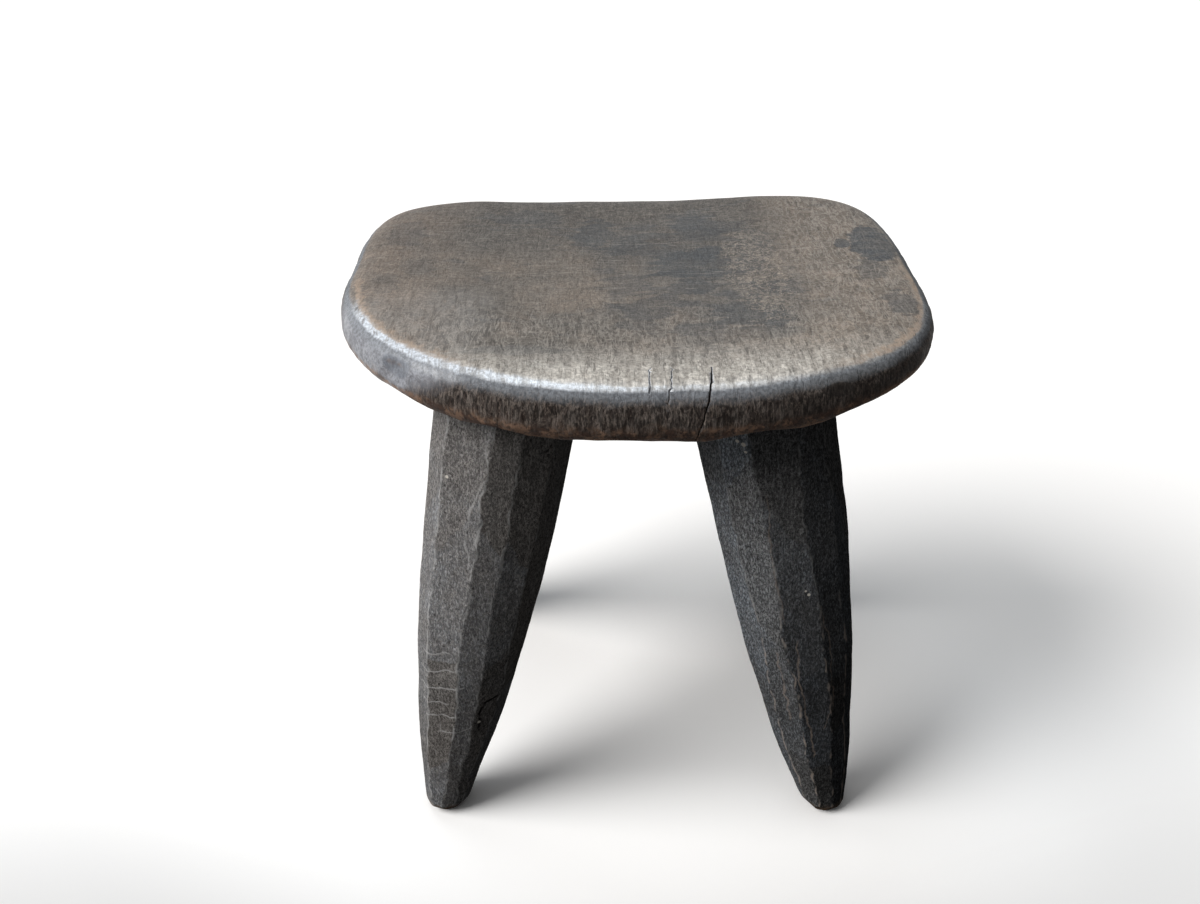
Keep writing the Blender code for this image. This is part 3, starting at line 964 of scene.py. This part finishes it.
def stained(tree, on, top):
    """The top with its oil stains, and a mask of the dark ones."""
    dark = 0.0
    for *spot, strength, ragged in STAINS:
        dark = maths(tree, "MAXIMUM", dark, times(tree, top_patch(tree, on, *spot, ragged), strength))
    soiled = top_patch(tree, on, 0.045, -0.005, 0.072, 0.130, 0.7)
    blotchy = drawn_out(tree, on.place, BLOT_STRETCH, 8.0, 0.64, 0.6)
    blots = times(tree, step(tree, blotchy, 0.46, 0.55, 0.18, 0.62), soiled)
    dark = times(tree, maths(tree, "MAXIMUM", dark, blots), between(tree, on.strokes, 1.0, 0.76))
    flecks = step(tree, blotchy, 0.58, 0.63, 0.0, 0.35)
    top = tint(tree, maths(tree, "MAXIMUM", dark, flecks), top, OIL)
    crazed = top_patch(tree, on, 0.086, -0.005, 0.022, 0.085, 1.6)
    return tint(tree, times(tree, on.network, crazed, 0.45), top, CRAZING), dark


def rubbed_front(tree, on, top):
    """The top rubbed pale towards the front, partly wear and partly painted sheen, and roughened by a fine
    grit.
    """
    # Paler towards the front: partly wear, partly painted sheen.
    top = tint(tree, step(tree, on.y, -0.060, -0.130, 0.0, 0.12), top, HANDLED_AND_SHEEN)
    spared = step(tree, maths(tree, "ADD", on.small["Speckle"], on.along), 0.2, 1.4, 1.0, 0.60)
    rubbed = times(tree, step(tree, on.y, -0.108, -0.158), spared, step(tree, on.x, 0.05, 0.14, 0.92, 0.55))
    top = tint(tree, rubbed, top, RUBBED_AND_SHEEN)
    return scaled(tree, top, times(tree, on.grit, step(tree, on.fray, -0.22, 0.22, 0.84, 1.16)))


def leathery_skin(tree, on, top, dark):
    """The top with its scratches, fissures and leathery pits, and a mask of the fissures."""
    leathery = maths(tree, "MAXIMUM", step(tree, on.y, -0.03, -0.11), step(tree, on.x, 0.09, 0.14))
    leathery = times(tree, between(tree, leathery, 0.35, 1.0), step(tree, dark, 0.2, 0.7, 1.0, 0.35))
    scratch = step(tree, drawn_out(tree, on.place, SCRATCH_STRETCH, 2.0), 0.66, 0.71)
    top = tint(tree, times(tree, scratch, 0.40), top, SCRATCH)
    fissure = times(tree, step(tree, drawn_out(tree, on.place, FISSURE_STRETCH, 3.0), 0.58, 0.66), leathery)
    top = tint(tree, times(tree, fissure, 0.36), top, FISSURE)
    top = tint(tree, times(tree, on.along, 0.22), top, GRAIN_DARK)
    top = tint(tree, times(tree, on.leather["Pit"], leathery, 0.40), top, LEATHER_PIT)
    return tint(tree, times(tree, on.leather["Squiggle"], leathery, 0.26), top, LEATHER_RIDGE), fissure


print("seat's top:", len(STAINS), "stains")

# %% [markdown]
# The edge face is dark with upright fibres. At the front left corner it has a painted silvery reflection,
# with painted shade in its dent, and where it slopes up to the top a painted bluish sheen. The lower rim is
# reddish brown and the underside plain dark wood. Along the brow, where the top rolls over into the edge, a
# painted silvery highlight runs, and use has worn the corners down to tan wood.

# %% Seat finish: the edge and the rim
EDGE, EDGE_FIBRE = (0.122, 0.104, 0.093, 1), (0.033, 0.025, 0.022, 1)
EDGE_MOTTLE, EDGE_SQUIGGLE = (0.028, 0.020, 0.017, 1), (0.22, 0.180, 0.150, 1)
# Painted reflection on the front left corner, and its mottle.
SILVER_REFLECTION, SILVER_REFLECTION_MOTTLE = (0.262, 0.272, 0.300, 1), (0.145, 0.146, 0.164, 1)
# Painted shade in the dent and in the notch.
DENT_PAINTED_SHADE, NOTCH_PAINTED_SHADE = (0.100, 0.116, 0.142, 1), (0.016, 0.014, 0.013, 1)
# Painted bluish sheen where the edge slopes up to the top.
SLOPE_SHEEN_LEFT, SLOPE_SHEEN_RIGHT = (0.170, 0.182, 0.200, 1), (0.112, 0.118, 0.126, 1)
LOWER_RED, LOWER_DARK = (0.225, 0.142, 0.098, 1), (0.070, 0.044, 0.034, 1)
UNDER_DARK, UNDER_PALE = (0.050, 0.043, 0.039, 1), (0.085, 0.074, 0.066, 1)
# Painted highlight along the brow.
BROW_HIGHLIGHT = (0.58, 0.63, 0.70)
BARE_TAN = (0.42, 0.315, 0.235, 1)
EDGE_STRETCH = (760.0, 760.0, 150.0)
DENT_CENTRE, DENT_REACH = (-0.1415, -0.1185, 0.350), (0.013, 0.013, 0.008)
NOTCH_CENTRE, NOTCH_REACH = (0.1140, -0.1650, 0.353), (0.010, 0.012, 0.004)
BROW_UNEVEN = 0.08
BROW_RISE = 0.03
MIDDLE_X = 0.010


def edge_face(tree, on):
    """Dark upright fibres, with the painted reflection on the silvery corner, painted shade in its dent and a
    painted bluish sheen on the slope above.
    """
    edge = tint(tree, on.upright, EDGE, EDGE_FIBRE)
    edge = tint(tree, times(tree, on.mottle, 0.50), edge, EDGE_MOTTLE)
    edge = tint(tree, times(tree, on.leather["Squiggle"], 0.28), edge, EDGE_SQUIGGLE)
    coarse = step(tree, drawn_out(tree, on.place, EDGE_STRETCH, 3.0, 0.7), 0.39, 0.61, 0.30, 1.34)
    edge = scaled(tree, edge, times(tree, coarse, step(tree, on.x, 0.02, 0.10, 1.0, 0.66)))
    # Painted reflection: the silvery corner.
    silver_reflection_tone = tint(tree, times(tree, on.mottle, 0.6), SILVER_REFLECTION, SILVER_REFLECTION_MOTTLE)
    edge = tint(tree, times(tree, on.silver, 0.80), edge, scaled(tree, silver_reflection_tone, on.grit))
    # Painted shade in the dent.
    dent_shade = patch(tree, on.place, on.silver_fray, DENT_CENTRE, DENT_REACH, 1.6)
    edge = tint(tree, times(tree, dent_shade, 0.50), edge, DENT_PAINTED_SHADE)
    # Painted sheen on the slope, set by the way the skin faces.
    slope_sheen = step(tree, on.facing, between(tree, on.right_end, 0.30, 0.48), 0.78, 0.0, 0.80)
    slope_sheen_tone = tint(tree, on.right_end, SLOPE_SHEEN_LEFT, SLOPE_SHEEN_RIGHT)
    return tint(tree, slope_sheen, edge, scaled(tree, slope_sheen_tone, on.grit))


def zones(tree, on, top, edge):
    """The four zones, from the top round the edge to the underside."""
    colour = tint(tree, step(tree, on.tipped, 0.79, 0.90), edge, top)
    lower = tint(tree, on.mottle, LOWER_RED, LOWER_DARK)
    low_rim = times(tree, step(tree, on.facing, 0.10, -0.20),
                    step(tree, on.small["Speckle"], 0.0, 0.6, 0.3, 1.0))
    colour = tint(tree, low_rim, colour, lower)
    under = tint(tree, on.broad["Cloud"], UNDER_DARK, UNDER_PALE)
    return tint(tree, step(tree, on.facing, -0.80, -0.95), colour, under)


def worn_brow(tree, on, colour):
    """The painted silvery highlight along the brow, bare wood worn at both corners and the painted shade in
    the notch.
    """
    uneven = times(tree, about_zero(tree, noise(tree, on.place, 130.0, 5.0, 0.7)), BROW_UNEVEN)
    turned = maths(tree, "ADD", on.facing, uneven)
    left_rise = step(tree, on.x, 0.0, -0.08, 0.0, BROW_RISE)
    rise = maths(tree, "ADD", left_rise, times(tree, on.right_end, BROW_RISE))
    raised = maths(tree, "SUBTRACT", turned, rise)
    # Painted highlight: the silvery line along the brow.
    brow_highlight = times(tree, step(tree, raised, 0.940, 0.900), step(tree, turned, 0.78, 0.88),
                 step(tree, on.y, -0.03, -0.08), step(tree, on.x, 0.13, -0.06, 0.10, 0.85))
    smooth = step(tree, maths(tree, "ADD", on.along, on.leather["Pit"]), 0.0, 1.3, 1.0, 0.35)
    colour = tint(tree, times(tree, brow_highlight, smooth), colour, scaled(tree, BROW_HIGHLIGHT, on.grit))
    arris = times(tree, step(tree, raised, 0.895, 0.920), step(tree, raised, 0.965, 0.940))
    ends = step(tree, maths(tree, "ABSOLUTE", maths(tree, "ADD", on.x, -MIDDLE_X)), 0.09, 0.14)
    bare = times(tree, arris, ends, step(tree, on.small["Speckle"], 0.0, 0.8, 0.55, 1.0),
                 step(tree, on.y, 0.02, -0.04))
    colour = tint(tree, times(tree, bare, 0.60), colour, BARE_TAN)
    # Painted shade in the notch.
    notch_shade = patch(tree, on.place, on.silver_fray, NOTCH_CENTRE, NOTCH_REACH, 2.2)
    return tint(tree, times(tree, notch_shade, 0.65), colour, NOTCH_PAINTED_SHADE)


# %% [markdown]
# Sitting has polished the top. The shine is a thin coat of wax and grease, strongest on the rolled front and
# the silver corner, and broken by pits and grain. The coat's weight is painted, and everything else about
# it is one plain value.

# %% Seat finish: the shine, and all of it together
def shine(tree, on, polish):
    """Where the wax lies."""
    rolled = times(tree, step(tree, on.facing, 0.997, 0.95), step(tree, on.y, -0.02, -0.09))
    wax = times(tree, polish, between(tree, rolled, 0.05, 1.0), step(tree, on.x, 0.04, 0.13, 1.0, 0.30))
    wax = maths(tree, "MAXIMUM", wax, times(tree, on.silver, 0.5))
    return times(tree, wax, step(tree, maths(tree, "ADD", on.leather["Pit"], on.along), 0.2, 1.2, 1.0, 0.5))


def seat_finish():
    """Polished taupe wood with stains on top, a rubbed rim, a dark edge and a brown lower rim."""
    material, tree, output = new_material("polished_seat_wood")
    on = seat_surface(tree)
    top, dark = stained(tree, on, taupe(tree, on))
    top, fissure = leathery_skin(tree, on, rubbed_front(tree, on, top), dark)
    colour = worn_brow(tree, on, zones(tree, on, top, edge_face(tree, on)))
    polish = step(tree, on.tipped, 0.78, 0.90)
    relief = maths(tree, "ADD", times(tree, on.along, -0.4), times(tree, on.upright, -0.35))
    relief = maths(tree, "SUBTRACT", relief, maths(tree, "MAXIMUM", on.leather["Pit"], fissure))
    bump = node(tree, "ShaderNodeBump", {"Height": relief, "Strength": 0.45, "Distance": BUMP_HEIGHT})
    wood = node(tree, "ShaderNodeBsdfPrincipled", {
        "Base Color": colour, "Roughness": between(tree, polish, 0.65, 0.50), "Normal": bump.outputs[0],
        "Specular IOR Level": 0.06, "Coat Weight": shine(tree, on, polish), "Coat Roughness": 0.30,
        "Coat IOR": 1.7})
    tree.links.new(wood.outputs[0], output.inputs["Surface"])
    return material


seat_wood = seat_finish()
seat.data.materials.clear()
seat.data.materials.append(seat_wood)
print("seat finish:", len(seat_wood.node_tree.nodes), "nodes")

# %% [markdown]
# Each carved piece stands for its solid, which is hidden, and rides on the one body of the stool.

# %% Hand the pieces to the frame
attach(seat, "root")
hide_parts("seat")
for node_name, leg in legs.items():
    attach(leg, "root")
    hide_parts(node_name)
